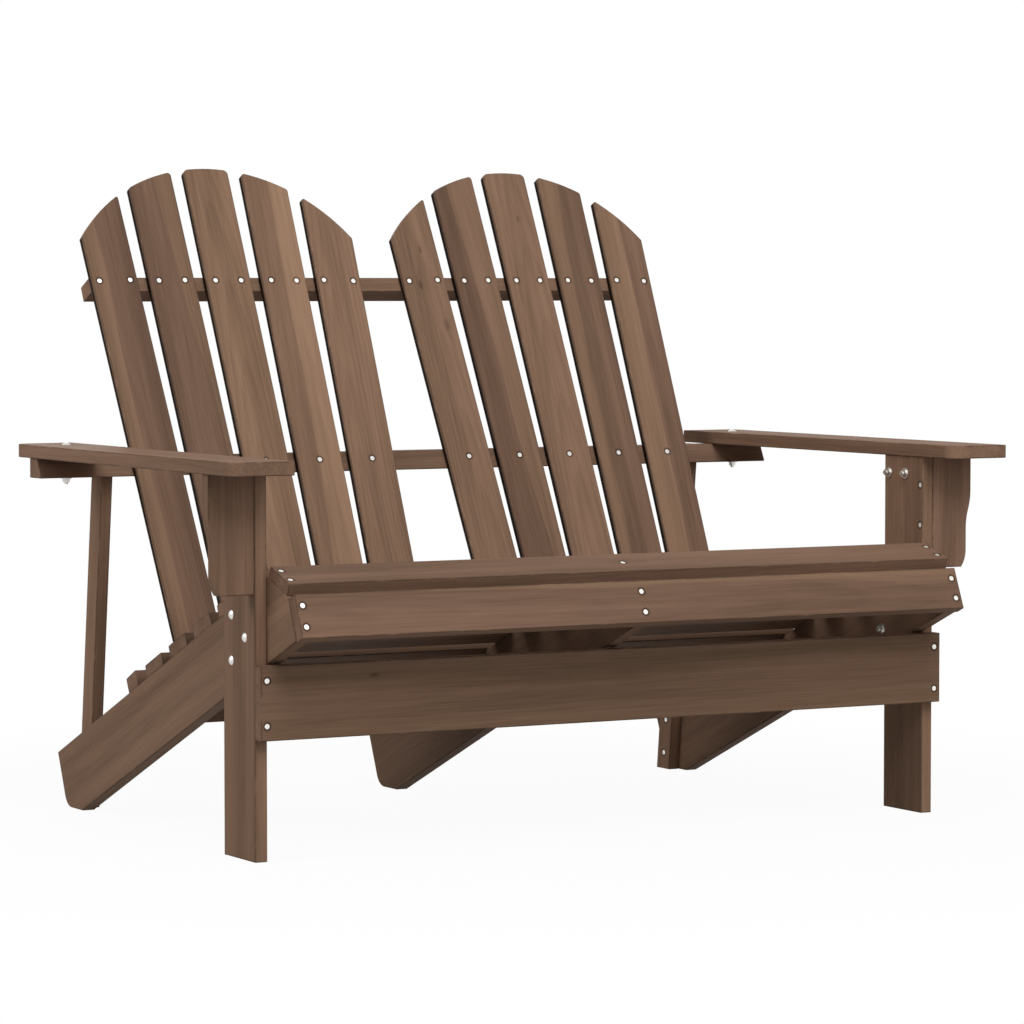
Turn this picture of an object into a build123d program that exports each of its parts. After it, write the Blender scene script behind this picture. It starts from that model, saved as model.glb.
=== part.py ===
from build123d import *
import os
from math import atan, cos, radians, sin, tan

os.makedirs("parts", exist_ok=True)

# A wooden two-seat garden seat. Millimetres, +Y to the back, +Z up.
# Left is -X and right is +X, as seen by someone who stands in front of the seat.
# The origin is on the floor under the middle of the whole seat.
# In the side view, places are given as (distance behind the legs' front edges, height).

# Front legs
leg_spread = 1100.0
leg_thickness = 18.0
leg_depth = 98.0
leg_height = 523.0

# Arms
arm_thickness = 19.0
arm_width = 93.5
arm_front_reach = 82.0
arm_rear_overhang = 59.3
arm_lap = 3.0
arm_large_round = 28.0
arm_small_round = 3.0

# Stringers: sloping boards that reach from the seat's front to the floor at the back
stringer_thickness = 20.0
stringer_width = 107.0
stringer_foot_length = 57.8
stringer_front_length = 96.5
stringer_foot_round = 25.0
seat_slope = 23.0

# Apron across the legs' front edges
apron_thickness = 19.0
apron_width = 101.2
apron_top = 266.0

# Seat boards
nose_thickness = 18.0
nose_width = 62.0
nose_drop = 2.0
front_slat_thickness = 18.0
front_slat_width = 60.0
front_slat_tilt = 19.8
front_slat_start = 46.5
front_slat_setback = 2.65
seat_slat_thickness = 18.5
seat_slat_width = 60.0
seat_slat_first = 27.0
seat_back_gap = 21.4
seat_slat_count = 5
seat_end_clearance = 1.0

# Cross braces between the stringers
brace_thickness = 18.0
brace_width = 60.0
brace_setback = 255.0
brace_bottom = 163.0
brace_clearance = 0.3

# Back slats, in two fans
back_recline = 25.9
back_line_reach = 561.4
back_line_height = 513.6
fan_offset = 260.0
fan_angle_step = 0.93
fan_side_count = 2
slat_pitch = 88.4
slat_width = 73.6
slat_thickness = 12.0
slat_foot_gap = 4.7
slat_top_centre = 210.5
slat_top_radius = 276.0
slat_corner_round = 5.0
middle_slat_round = 8.0
outer_slat_round = 2.5

# Back rails
middle_rail_height = 28.5
middle_rail_depth = 40.0
middle_rail_inset = 2.5
middle_screw_drop = 9.4
top_rail_rise = 296.2
top_rail_height = 23.5
top_rail_depth = 36.0
top_rail_inset = 2.2
lower_rail_height = 19.5
lower_rail_depth = 36.0

# Rear posts
post_thickness = 18.0
post_depth = 37.0
post_notch = 10.6
post_foot_setback = 22.8

# Arm brackets and cleats
bracket_thickness = 19.0
bracket_reach = 68.0
bracket_height = 163.0
bracket_step = 8.0
bracket_curve_top = 48.0
bracket_curve_drop = 60.0
bracket_taper = 8.2
bracket_taper_rise = 24.8
cleat_thickness = 18.0
cleat_height = 45.0

# Eased edges
edge_round = 1.5
slat_edge_round = 1.0

# Countersunk screws
screw_radius = 2.0
screw_head_radius = 3.9
screw_recess = 0.4
screw_tip = 4.0
screw_clearance = 0.1
screw_angle = 90.0
screw_slot_width = 0.9
screw_slot_length = 4.4
screw_slot_depth = 1.1
short_screw_length = 34.0
long_screw_length = 58.0
slat_screw_offset = 21.3
outer_slat_screw_offset = 25.0
top_screw_lift = 1.5
seat_screw_offset = 15.0
apron_screw_offset = 30.5
bracket_screw_setback = 7.0
bracket_screw_top = 41.2
bracket_screw_pitch = 58.6
bracket_screw_count = 2
post_screw_low = 26.0
post_screw_high = 79.0
cleat_screw_pitch = 42.0

# Domed bolts with washers and nuts
bolt_radius = 3.0
bolt_head_radius = 6.5
bolt_head_height = 3.2
bolt_clearance = 0.15
bolt_end = 3.0
nut_width = 10.0
nut_sides = 6
nut_height = 5.0
washer_radius = 8.0
washer_thickness = 1.6
leg_bolt_front = 31.8
leg_bolt_back = 73.4
leg_bolt_low = 267.0
leg_bolt_middle = 301.0
leg_bolt_high = 329.0
cleat_bolt_drop = 25.5
cleat_bolt_margin = 12.0
cleat_bolt_pitch = 42.0
arm_bolt_inset = 50.5

# Dowels that hold the cross braces
dowel_radius = 4.0
dowel_in_stringer = 10.0
dowel_in_brace = 20.0
dowel_pitch = 30.0
dowel_clearance = 0.1

# Angles as factors
slope_cos = cos(radians(seat_slope))
slope_sin = sin(radians(seat_slope))
slope_tan = tan(radians(seat_slope))
back_cos = cos(radians(back_recline))
back_sin = sin(radians(back_recline))
back_tan = tan(radians(back_recline))

# Places that follow from the sizes
leg_outer = leg_spread / 2
leg_inner = leg_outer - leg_thickness
stringer_inner = leg_inner - stringer_thickness
stringer_middle = leg_inner - stringer_thickness / 2
seat_half = leg_inner - seat_end_clearance
arm_inner = leg_inner - arm_lap
arm_outer = arm_inner + arm_width
stringer_floor_reach = apron_top / slope_tan
stringer_top_height = apron_top + stringer_width / slope_cos
stringer_rear_length = (stringer_floor_reach + stringer_foot_length) * slope_cos + apron_top * slope_sin
nose_front = stringer_front_length + nose_thickness
slat_top = slat_top_centre + slat_top_radius
post_foot_reach = stringer_floor_reach + post_foot_setback

# Where the plane of the slats' front faces meets the stringers' top edges: the slats end just above it,
# and the seat slats share out the stringers' length in front of it
slat_plane_drop = (back_line_height + back_line_reach * slope_tan - stringer_top_height) / (
    back_cos + back_sin * slope_tan
)
slat_foot = slat_plane_drop - slat_foot_gap
back_along = (back_line_reach - slat_plane_drop * back_sin - stringer_width * slope_sin) / slope_cos
seat_slats_run = seat_slat_first + back_along - seat_back_gap
seat_slat_gap = (seat_slats_run - seat_slat_count * seat_slat_width) / (seat_slat_count - 1)

# How far the seat reaches in front of and behind the legs' front edges
front_reach = nose_front * slope_cos + nose_drop * slope_sin - edge_round * (slope_sin + slope_cos - 1)
back_reach = (
    back_line_reach
    + slat_top * back_sin
    + slat_thickness * back_cos
    - slat_edge_round * (back_sin + back_cos - 1)
)
leg_front = (front_reach - back_reach) / 2


def side_point(behind, height):
    """A place in the side view, from its distance behind the legs' front edges."""
    return (leg_front + behind, height)


def slope_point(along, above):
    """A place in the side view: along the stringer to the front, and above its underside."""
    behind = above * slope_sin - along * slope_cos
    return side_point(behind, apron_top + along * slope_sin + above * slope_cos)


def back_point(rise, depth):
    """A place in the side view: up the back slats, and behind their front faces."""
    behind = back_line_reach + rise * back_sin + depth * back_cos
    return side_point(behind, back_line_height + rise * back_cos - depth * back_sin)


def slope_height(behind):
    """Height of the stringers' top edge at a distance behind the legs' front edges."""
    return stringer_top_height - behind * slope_tan


def back_reach_at(height, depth):
    """Distance behind the legs' front edges of a plane that lies behind the slats' front faces."""
    rise = (height - back_line_height) * back_tan
    return back_line_reach + rise + depth / back_cos


def facing(x, point, normal_behind, normal_up):
    """Location on a surface in the side view, with its Z axis along the outward normal."""
    y, z = point
    return Plane(origin=(x, y, z), x_dir=(1, 0, 0), z_dir=(0, normal_behind, normal_up)).location


def sideways(x, point, side):
    """Location on a face that looks along X, towards side."""
    y, z = point
    return Plane(origin=(x, y, z), x_dir=(0, 1, 0), z_dir=(side, 0, 0)).location


def upright(x, point, direction):
    """Location on a level face that looks up or down."""
    y, z = point
    return Plane(origin=(x, y, z), x_dir=(1, 0, 0), z_dir=(0, 0, direction)).location


def save(part, label):
    """Labels a finished piece and writes it."""
    part.label = label
    export_step(part, "parts/" + label + ".step")
    print(label, round(part.volume))


# Where each family of screws, bolts and dowels sits
sides = {"left": -1, "right": 1}
stringer_centres = [-stringer_middle, 0, stringer_middle]
fan_numbers = range(-fan_side_count, fan_side_count + 1)


def slat_plane(fan, number):
    """Front face of one back slat, with its origin at the slat's middle screw."""
    y, z = back_point(0, 0)
    lean = radians(number * fan_angle_step)
    return Plane(
        origin=(fan * fan_offset + number * slat_pitch, y, z),
        x_dir=(cos(lean), -sin(lean) * back_sin, -sin(lean) * back_cos),
        z_dir=(0, -back_cos, back_sin),
    )


def slat_screw_places(fan, number, rise, offsets):
    """Screw places on the front face of one back slat."""
    face = slat_plane(fan, number)
    spots = [Plane(origin=face.from_local_coords((offset, rise, 0)), z_dir=face.z_dir) for offset in offsets]
    return [spot.location for spot in spots]


lower_rail_foot_rise = lower_rail_height / 2 - slat_foot
middle_screw_rise = (leg_height - middle_screw_drop - back_line_height) / back_cos
slat_screws_at = {}
for fan in sides.values():
    for number in fan_numbers:
        spread = outer_slat_screw_offset if abs(number) == fan_side_count else slat_screw_offset
        slat_screws_at[fan, number] = {
            "top": slat_screw_places(fan, number, top_rail_rise + top_screw_lift, [-spread, spread]),
            "middle": slat_screw_places(fan, number, middle_screw_rise, [0]),
            "foot": slat_screw_places(fan, number, lower_rail_foot_rise, [0]),
        }


def all_slat_screws(row):
    """Every screw place of one row across both fans."""
    return [place for rows in slat_screws_at.values() for place in rows[row]]


def seat_board_screws(middle_point, step, normal, centre_offsets):
    """Screws of one seat board: a pair over each side stringer, and some over the middle one."""
    places = []
    for x in stringer_centres:
        for offset in centre_offsets if x == 0 else [-seat_screw_offset, seat_screw_offset]:
            y = middle_point[0] + offset * step[0]
            z = middle_point[1] + offset * step[1]
            places.append(facing(x, (y, z), *normal))
    return places


def seat_slat_start(number):
    """Front edge of a seat slat, along the stringers."""
    return seat_slat_first - number * (seat_slat_width + seat_slat_gap)


seat_slat_screws_at = [
    seat_board_screws(
        slope_point(seat_slat_start(number) - seat_slat_width / 2, stringer_width + seat_slat_thickness),
        (slope_cos, -slope_sin),
        (slope_sin, slope_cos),
        [0],
    )
    for number in range(seat_slat_count)
]

nose_screws_at = seat_board_screws(
    slope_point(nose_front, nose_width / 2 - nose_drop),
    (slope_sin, slope_cos),
    (-slope_cos, slope_sin),
    [-seat_screw_offset, seat_screw_offset],
)

tilt_cos = cos(radians(front_slat_tilt))
tilt_sin = sin(radians(front_slat_tilt))


def front_slat_point(forward, above):
    """A place in the side view: forward along the front slat, and above the cut it lies on."""
    y, z = slope_point(front_slat_start, stringer_width)
    forward = forward + front_slat_setback
    return (y - forward * tilt_cos - above * tilt_sin, z - forward * tilt_sin + above * tilt_cos)


front_slat_screws_at = seat_board_screws(
    front_slat_point(front_slat_width / 2, front_slat_thickness),
    (tilt_cos, tilt_sin),
    (-tilt_sin, tilt_cos),
    [0],
)

apron_middle = apron_top - apron_width / 2
apron_screws_at = [
    facing(side * (leg_inner + leg_thickness / 2), side_point(-apron_thickness, apron_middle + offset), -1, 0)
    for side in sides.values()
    for offset in (-apron_screw_offset, apron_screw_offset)
]

bracket_screws_at = {
    side: [
        sideways(
            side * leg_inner,
            side_point(bracket_screw_setback, leg_height - bracket_screw_top - number * bracket_screw_pitch),
            -side,
        )
        for number in range(bracket_screw_count)
    ]
    for side in sides.values()
}

middle_rail_bottom = leg_height - middle_rail_height
middle_rail_rear = back_reach_at(middle_rail_bottom, slat_thickness) + middle_rail_depth
post_tan = (post_foot_reach + post_notch - middle_rail_rear) / middle_rail_bottom
post_lean = atan(post_tan)


def post_front(height):
    """Distance behind the legs' front edges of a rear post's front face."""
    return post_foot_reach - height * post_tan


post_depth_level = post_depth / cos(post_lean)
post_screws_at = {
    side: [
        sideways(
            side * (stringer_inner - post_thickness),
            side_point(post_front(height) + post_depth_level / 2, height),
            -side,
        )
        for height in (post_screw_low, post_screw_high)
    ]
    for side in sides.values()
}

post_centre = stringer_inner - post_thickness / 2
middle_rail_centre = leg_height - middle_rail_height / 2
post_rail_screws_at = {
    side: [
        facing(
            side * post_centre,
            side_point(post_front(middle_rail_centre) + post_depth_level, middle_rail_centre),
            cos(post_lean),
            sin(post_lean),
        )
    ]
    for side in sides.values()
}

lower_rail_screws_at = [
    facing(
        x,
        back_point(lower_rail_height - slat_foot, slat_thickness + lower_rail_depth / 2),
        back_sin,
        back_cos,
    )
    for x in stringer_centres
]

cleat_middle = (bracket_thickness + leg_depth) / 2
cleat_bottom = leg_height - cleat_height
cleat_screws_at = {
    side: [
        upright(
            side * (leg_outer + cleat_thickness / 2),
            side_point(cleat_middle + offset, cleat_bottom),
            -1,
        )
        for offset in (-cleat_screw_pitch / 2, cleat_screw_pitch / 2)
    ]
    for side in sides.values()
}

leg_bolt_spots = [
    (leg_bolt_back, leg_bolt_high),
    (leg_bolt_front, leg_bolt_middle),
    (leg_bolt_back, leg_bolt_low),
]
leg_bolts_at = {
    side: [sideways(side * leg_outer, side_point(*spot), side) for spot in leg_bolt_spots]
    for side in sides.values()
}

cleat_bolt_back = leg_depth - cleat_bolt_margin
cleat_bolts_at = {
    side: [
        sideways(
            side * (leg_outer + cleat_thickness),
            side_point(behind, leg_height - cleat_bolt_drop),
            side,
        )
        for behind in (cleat_bolt_back, cleat_bolt_back - cleat_bolt_pitch)
    ]
    for side in sides.values()
}

arm_top = leg_height + arm_thickness
arm_bolts_at = {
    side: [
        upright(
            side * (arm_outer - arm_bolt_inset),
            side_point(middle_rail_rear - middle_rail_depth / 2, arm_top),
            1,
        )
    ]
    for side in sides.values()
}

brace_middle = brace_bottom + brace_width / 2
brace_depth_middle = brace_setback + brace_thickness / 2


def dowels_in(x, side):
    """Dowel places in a stringer's face at x that looks towards side."""
    return [
        sideways(x, side_point(brace_depth_middle, brace_middle + offset), side)
        for offset in (-dowel_pitch / 2, dowel_pitch / 2)
    ]


side_dowels_at = {side: dowels_in(side * stringer_inner, -side) for side in sides.values()}
middle_dowels_at = {side: dowels_in(side * stringer_thickness / 2, side) for side in sides.values()}


def flatten(groups):
    """All places of a family, left and right together."""
    return [place for group in groups.values() for place in group]


# Holes, cut into the piece that is being made
def sunk_holes(places, through):
    """Countersunk clearance holes for screws, through a board."""
    with Locations(*places):
        CounterSinkHole(
            radius=screw_radius + screw_clearance,
            counter_sink_radius=screw_head_radius + screw_recess + screw_clearance,
            depth=through,
            counter_sink_angle=screw_angle,
        )


def screw_bores(places, length):
    """Bores that take the screws' threads, in the piece behind."""
    with Locations(*places):
        Hole(radius=screw_radius + screw_clearance, depth=length + screw_recess + screw_clearance)


def bolt_bores(places, length):
    """Through bores for bolts."""
    with Locations(*places):
        Hole(radius=bolt_radius + bolt_clearance, depth=length)


def dowel_bores(places, depth):
    """Blind bores for dowels."""
    with Locations(*places):
        Hole(radius=dowel_radius + dowel_clearance, depth=depth + dowel_clearance)


def ease(edges, radius):
    """Takes the sharpness off a board's edges."""
    fillet(edges, radius)


def section(points, x):
    """A board's section in the side view, drawn at x."""
    with BuildSketch(Plane.YZ.offset(x)) as outline:
        with BuildLine():
            Polyline(*points, close=True)
        make_face()
    return outline.sketch


# Front legs: upright boards that stand edge on, bolted to the side stringers
for name, side in sides.items():
    with BuildPart() as front_leg:
        leg_outline = [
            side_point(0, 0),
            side_point(leg_depth, 0),
            side_point(leg_depth, leg_height),
            side_point(0, leg_height),
        ]
        extrude(section(leg_outline, min(side * leg_inner, side * leg_outer)), amount=leg_thickness)
        ease(front_leg.edges().filter_by(Axis.Z), edge_round)
        bolt_bores(leg_bolts_at[side], leg_thickness + bolt_clearance)
        bolt_bores(cleat_bolts_at[side], cleat_thickness + leg_thickness + bolt_clearance)
        sunk_holes(bracket_screws_at[side], leg_thickness)
        screw_bores(apron_screws_at, short_screw_length)
    save(front_leg.part, "front_leg_" + name)


# Side view of a stringer, cut for the apron, the nose board, the front slat and the floor
front_drop = (stringer_front_length - front_slat_start) * tan(radians(seat_slope + front_slat_tilt))
foot_above = (stringer_rear_length * slope_sin - apron_top) / slope_cos
stringer_outline = [
    side_point(stringer_floor_reach, 0),
    slope_point(stringer_front_length, 0),
    slope_point(stringer_front_length, stringer_width - front_drop),
    slope_point(front_slat_start, stringer_width),
    slope_point(-stringer_rear_length, stringer_width),
    slope_point(-stringer_rear_length, foot_above),
]


def stringer_sketch(x):
    """A stringer's outline with its rounded foot, on the left face of a stringer centred at x."""
    with BuildSketch(Plane.YZ.offset(x - stringer_thickness / 2)) as outline:
        with BuildLine():
            Polyline(*stringer_outline, close=True)
        make_face()
        heel = outline.vertices().sort_by_distance(slope_point(-stringer_rear_length, foot_above))[0]
        fillet(heel, stringer_foot_round)
    return outline.sketch


seat_screws = [place for places in seat_slat_screws_at for place in places]
seat_screws += front_slat_screws_at + nose_screws_at

# Side stringers: they lie against the legs' inner faces
for name, side in sides.items():
    with BuildPart() as side_stringer:
        extrude(stringer_sketch(side * stringer_middle), amount=stringer_thickness)
        ease(side_stringer.faces().filter_by(Axis.X).edges(), edge_round)
        near_screws = [place for place in seat_screws if place.position.X * side > 0]
        screw_bores(near_screws, short_screw_length)
        near_rail_screws = [place for place in lower_rail_screws_at if place.position.X * side > 0]
        screw_bores(near_rail_screws, long_screw_length)
        bolt_bores(leg_bolts_at[side], leg_thickness + stringer_thickness + bolt_clearance)
        screw_bores(post_screws_at[side], short_screw_length)
        dowel_bores(side_dowels_at[side], dowel_in_stringer)
    save(side_stringer.part, "side_stringer_" + name)

# Middle stringer: the same board under the middle of the seat
with BuildPart() as middle_stringer:
    extrude(stringer_sketch(0), amount=stringer_thickness)
    ease(middle_stringer.faces().filter_by(Axis.X).edges(), edge_round)
    screw_bores([place for place in seat_screws if place.position.X == 0], short_screw_length)
    screw_bores([place for place in lower_rail_screws_at if place.position.X == 0], long_screw_length)
    for side in sides.values():
        dowel_bores(middle_dowels_at[side], dowel_in_stringer)
save(middle_stringer.part, "middle_stringer")

# Apron: a board across the front edges of both legs
with BuildPart() as apron:
    apron_outline = [
        side_point(-apron_thickness, apron_top - apron_width),
        side_point(0, apron_top - apron_width),
        side_point(0, apron_top),
        side_point(-apron_thickness, apron_top),
    ]
    extrude(section(apron_outline, -leg_outer), amount=leg_spread)
    ease(apron.edges().filter_by(Axis.X), edge_round)
    sunk_holes(apron_screws_at, apron_thickness)
save(apron.part, "apron")

# Nose board: it closes the stringers' front ends
with BuildPart() as nose_board:
    nose_outline = [
        slope_point(stringer_front_length, -nose_drop),
        slope_point(nose_front, -nose_drop),
        slope_point(nose_front, nose_width - nose_drop),
        slope_point(stringer_front_length, nose_width - nose_drop),
    ]
    extrude(section(nose_outline, -seat_half), amount=2 * seat_half)
    ease(nose_board.edges().filter_by(Axis.X), edge_round)
    sunk_holes(nose_screws_at, nose_thickness)
save(nose_board.part, "nose_board")

# Front seat slat: it slopes down to the front, under the sitter's knees
with BuildPart() as front_seat_slat:
    front_slat_outline = [
        front_slat_point(0, 0),
        front_slat_point(front_slat_width, 0),
        front_slat_point(front_slat_width, front_slat_thickness),
        front_slat_point(0, front_slat_thickness),
    ]
    extrude(section(front_slat_outline, -seat_half), amount=2 * seat_half)
    ease(front_seat_slat.edges().filter_by(Axis.X), edge_round)
    sunk_holes(front_slat_screws_at, front_slat_thickness)
save(front_seat_slat.part, "front_seat_slat")

# Seat slats: equal boards on the stringers' sloping tops
for number in range(seat_slat_count):
    start = seat_slat_start(number)
    with BuildPart() as seat_slat:
        seat_slat_outline = [
            slope_point(start, stringer_width),
            slope_point(start, stringer_width + seat_slat_thickness),
            slope_point(start - seat_slat_width, stringer_width + seat_slat_thickness),
            slope_point(start - seat_slat_width, stringer_width),
        ]
        extrude(section(seat_slat_outline, -seat_half), amount=2 * seat_half)
        ease(seat_slat.edges().filter_by(Axis.X), edge_round)
        sunk_holes(seat_slat_screws_at[number], seat_slat_thickness)
    save(seat_slat.part, "seat_slat_" + str(number + 1))

# Cross braces: short boards on edge between neighbouring stringers
brace_start = stringer_thickness / 2 + brace_clearance
brace_length = stringer_inner - brace_clearance - brace_start
for name, side in sides.items():
    with BuildPart() as cross_brace:
        brace_outline = [
            side_point(brace_setback, brace_bottom),
            side_point(brace_setback + brace_thickness, brace_bottom),
            side_point(brace_setback + brace_thickness, brace_bottom + brace_width),
            side_point(brace_setback, brace_bottom + brace_width),
        ]
        brace_left_end = min(side * brace_start, side * (brace_start + brace_length))
        extrude(section(brace_outline, brace_left_end), amount=brace_length)
        ease(cross_brace.edges().filter_by(Axis.X), edge_round)
        dowel_bores(side_dowels_at[side] + middle_dowels_at[side], dowel_in_brace + brace_clearance)
    save(cross_brace.part, "cross_brace_" + name)

# Lower back rail: it carries the slats' feet and sits on the stringers
lower_rail_top = lower_rail_height - slat_foot


def rail_foot(depth):
    """Where a plane behind the slats' front faces meets the stringers' top edges."""
    behind = (back_reach_at(0, depth) + stringer_top_height * back_tan) / (1 + slope_tan * back_tan)
    return side_point(behind, slope_height(behind))


with BuildPart() as lower_back_rail:
    lower_rail_outline = [
        rail_foot(slat_thickness),
        rail_foot(slat_thickness + lower_rail_depth),
        back_point(lower_rail_top, slat_thickness + lower_rail_depth),
        back_point(lower_rail_top, slat_thickness),
    ]
    extrude(section(lower_rail_outline, -seat_half), amount=2 * seat_half)
    ease(lower_back_rail.edges().filter_by(Axis.X), edge_round)
    sunk_holes(lower_rail_screws_at, lower_rail_depth)
    screw_bores(all_slat_screws("foot"), short_screw_length)
save(lower_back_rail.part, "lower_back_rail")

# Middle back rail: it carries the arms, and its front face is bevelled to the slats
middle_rail_half = arm_outer - middle_rail_inset
with BuildPart() as middle_back_rail:
    middle_rail_outline = [
        side_point(middle_rail_rear - middle_rail_depth, middle_rail_bottom),
        side_point(middle_rail_rear, middle_rail_bottom),
        side_point(middle_rail_rear, leg_height),
        side_point(back_reach_at(leg_height, slat_thickness), leg_height),
    ]
    extrude(section(middle_rail_outline, -middle_rail_half), amount=2 * middle_rail_half)
    ease(middle_back_rail.edges().filter_by(Axis.X), edge_round)
    screw_bores(all_slat_screws("middle"), short_screw_length)
    screw_bores(flatten(post_rail_screws_at), long_screw_length)
    bolt_bores(flatten(arm_bolts_at), arm_thickness + middle_rail_height + bolt_clearance)
save(middle_back_rail.part, "middle_back_rail")

# Top back rail: it ties both fans of slats together, and ends just inside the outermost slats' edges
outer_lean = radians(fan_side_count * fan_angle_step)
outer_slat_edge = fan_offset + fan_side_count * slat_pitch + slat_width / 2 / cos(outer_lean)
top_rail_half = outer_slat_edge + top_rail_rise * tan(outer_lean) - top_rail_inset
with BuildPart() as top_back_rail:
    top_rail_low = top_rail_rise - top_rail_height / 2
    top_rail_high = top_rail_rise + top_rail_height / 2
    top_rail_outline = [
        back_point(top_rail_low, slat_thickness),
        back_point(top_rail_low, slat_thickness + top_rail_depth),
        back_point(top_rail_high, slat_thickness + top_rail_depth),
        back_point(top_rail_high, slat_thickness),
    ]
    extrude(section(top_rail_outline, -top_rail_half), amount=2 * top_rail_half)
    ease(top_back_rail.edges().filter_by(Axis.X), edge_round)
    screw_bores(all_slat_screws("top"), short_screw_length)
save(top_back_rail.part, "top_back_rail")


# Back slats: each fan is cut to one round top, and its slats spread a little upwards
for name, fan in sides.items():
    for number in fan_numbers:
        with BuildPart() as back_slat:
            face = slat_plane(fan, number)
            with BuildSketch(face) as outline:
                centre = Vector(-number * slat_pitch, slat_top_centre).rotate(Axis.Z, number * fan_angle_step)
                with Locations((centre.X, centre.Y)):
                    Circle(slat_top_radius)
                with Locations((centre.X, (centre.Y - slat_foot) / 2)):
                    Rectangle(2 * slat_top_radius, centre.Y + slat_foot)
                with Locations((0, (slat_top - slat_foot) / 2)):
                    Rectangle(slat_width, slat_top + slat_foot, mode=Mode.INTERSECT)
                upper = outline.vertices().sort_by(Axis.Y)[-2:]
                outermost = abs(number) == fan_side_count
                side_round = outer_slat_round if outermost else slat_corner_round
                fillet(upper, middle_slat_round if number == 0 else side_round)
            extrude(amount=-slat_thickness)
            long_faces = back_slat.faces().sort_by(Axis((0, 0, 0), face.z_dir))
            ease(long_faces[0].edges() + long_faces[-1].edges(), slat_edge_round)
            screws = slat_screws_at[fan, number]
            for row in screws.values():
                sunk_holes(row, slat_thickness)
        save(back_slat.part, "back_slat_" + name + "_" + str(number + fan_side_count + 1))

# Arms: wide boards. The left one's two outer corners are well rounded, and the right one's inner front corner
arm_length = arm_front_reach + middle_rail_rear + arm_rear_overhang
for name, side in sides.items():
    with BuildPart() as arm:
        arm_start = min(side * arm_inner, side * arm_outer)
        with BuildSketch(Plane.XY.offset(leg_height)) as arm_outline:
            with Locations((arm_start + arm_width / 2, leg_front - arm_front_reach + arm_length / 2)):
                Rectangle(arm_width, arm_length)
            left_corners = arm_outline.vertices().group_by(Axis.X)[0].sort_by(Axis.Y)
            if side < 0:
                fillet(left_corners, arm_large_round)
            else:
                fillet(left_corners[0], arm_large_round)
                fillet(arm_outline.vertices().group_by(Axis.X)[0].sort_by(Axis.Y)[-1], arm_small_round)
            fillet(arm_outline.vertices().group_by(Axis.X)[-1], arm_small_round)
        extrude(amount=arm_thickness)
        ease(arm.faces().filter_by(Axis.Z).edges(), edge_round)
        bolt_bores(arm_bolts_at[side], arm_thickness + bolt_clearance)
        screw_bores(cleat_screws_at[side], long_screw_length)
    save(arm.part, "arm_" + name)

# Arm brackets: shaped boards on the legs' outer faces, flush with their front edges
for name, side in sides.items():
    with BuildPart() as arm_bracket:
        bracket_top_out = leg_outer + bracket_reach
        bracket_low_out = bracket_top_out - bracket_step
        curve_start = leg_height - bracket_curve_top
        curve_end = curve_start - bracket_curve_drop
        curve_middle = (curve_start + curve_end) / 2
        bracket_bottom = leg_height - bracket_height
        taper_start = bracket_bottom + bracket_taper_rise
        with BuildSketch(Plane.XZ.offset(-leg_front)):
            with BuildLine():
                Polyline(
                    (side * bracket_top_out, curve_start),
                    (side * bracket_top_out, leg_height),
                    (side * leg_outer, leg_height),
                    (side * leg_outer, bracket_bottom),
                    (side * (bracket_low_out - bracket_taper), bracket_bottom),
                )
                TangentArc(
                    (side * bracket_low_out, taper_start),
                    (side * (bracket_low_out - bracket_taper), bracket_bottom),
                    tangent=(0, -1),
                )
                Line((side * bracket_low_out, taper_start), (side * bracket_low_out, curve_end))
                Bezier(
                    (side * bracket_low_out, curve_end),
                    (side * bracket_low_out, curve_middle),
                    (side * bracket_top_out, curve_middle),
                    (side * bracket_top_out, curve_start),
                )
            make_face()
        extrude(amount=-bracket_thickness)
        ease(arm_bracket.faces().filter_by(Axis.Y).edges(), edge_round)
        screw_bores(bracket_screws_at[side], short_screw_length)
    save(arm_bracket.part, "arm_bracket_" + name)

# Arm cleats: blocks on the legs' outer faces behind the brackets, under the arms
for name, side in sides.items():
    with BuildPart() as arm_cleat:
        cleat_outline = [
            side_point(bracket_thickness, cleat_bottom),
            side_point(leg_depth, cleat_bottom),
            side_point(leg_depth, leg_height),
            side_point(bracket_thickness, leg_height),
        ]
        cleat_outer = leg_outer + cleat_thickness
        extrude(section(cleat_outline, min(side * leg_outer, side * cleat_outer)), amount=cleat_thickness)
        ease(arm_cleat.edges().filter_by(Axis.Y), edge_round)
        bolt_bores(cleat_bolts_at[side], cleat_thickness + bolt_clearance)
        sunk_holes(cleat_screws_at[side], cleat_height)
    save(arm_cleat.part, "arm_cleat_" + name)

# Rear posts: they stand on the floor inside the stringers, and a notch in each holds up the middle rail
for name, side in sides.items():
    with BuildPart() as rear_post:
        post_outline = [
            side_point(post_front(0), 0),
            side_point(post_front(0) + post_depth_level, 0),
            side_point(post_front(leg_height) + post_depth_level, leg_height),
            side_point(middle_rail_rear, leg_height),
            side_point(middle_rail_rear, middle_rail_bottom),
            side_point(post_front(middle_rail_bottom), middle_rail_bottom),
        ]
        post_inner = stringer_inner - post_thickness
        extrude(section(post_outline, min(side * post_inner, side * stringer_inner)), amount=post_thickness)
        ease(rear_post.faces().filter_by(Axis.X).edges(), edge_round)
        sunk_holes(post_screws_at[side], post_thickness)
        sunk_holes(post_rail_screws_at[side], post_depth)
    save(rear_post.part, "rear_post_" + name)


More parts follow.
